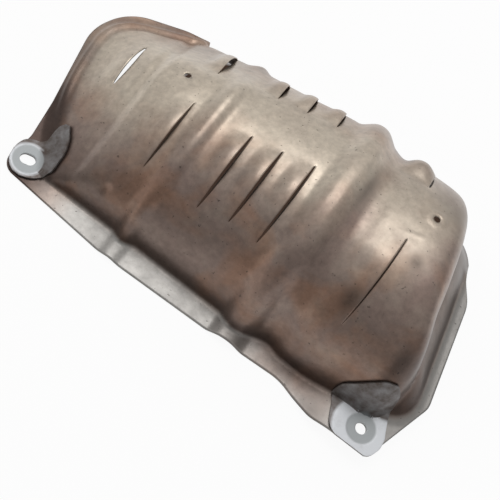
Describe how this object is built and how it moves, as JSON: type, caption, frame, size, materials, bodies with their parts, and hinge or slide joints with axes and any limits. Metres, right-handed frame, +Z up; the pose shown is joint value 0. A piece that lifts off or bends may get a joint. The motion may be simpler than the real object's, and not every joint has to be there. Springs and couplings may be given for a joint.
{
  "type": "exhaust manifold heat shield",
  "caption": "Pressed steel heat shield: a ribbed half-barrel closed by a dome, with hooded louvre slits, a bolting flange and doubled bolt ears.",
  "frame": {"origin": "middle of the plan box at the height of the surface the shield lies on, hollow side down", "axes": "+X along the barrel from the sloping left end to the domed right end, -Y towards the bolted front flange, +Z up"},
  "size_m": [0.3532, 0.2155, 0.0936],
  "materials": {
    "shell_steel": "satin pressed steel with brown heat tint, specks and rub marks",
    "plate_steel": "dull grey steel with bright clamp rings round the bolt holes"
  },
  "bodies": {
    "root": {"shield_shell": "shell_steel", "left_ear_plate": "plate_steel", "right_ear_plate": "plate_steel"}
  },
  "joints": []
}
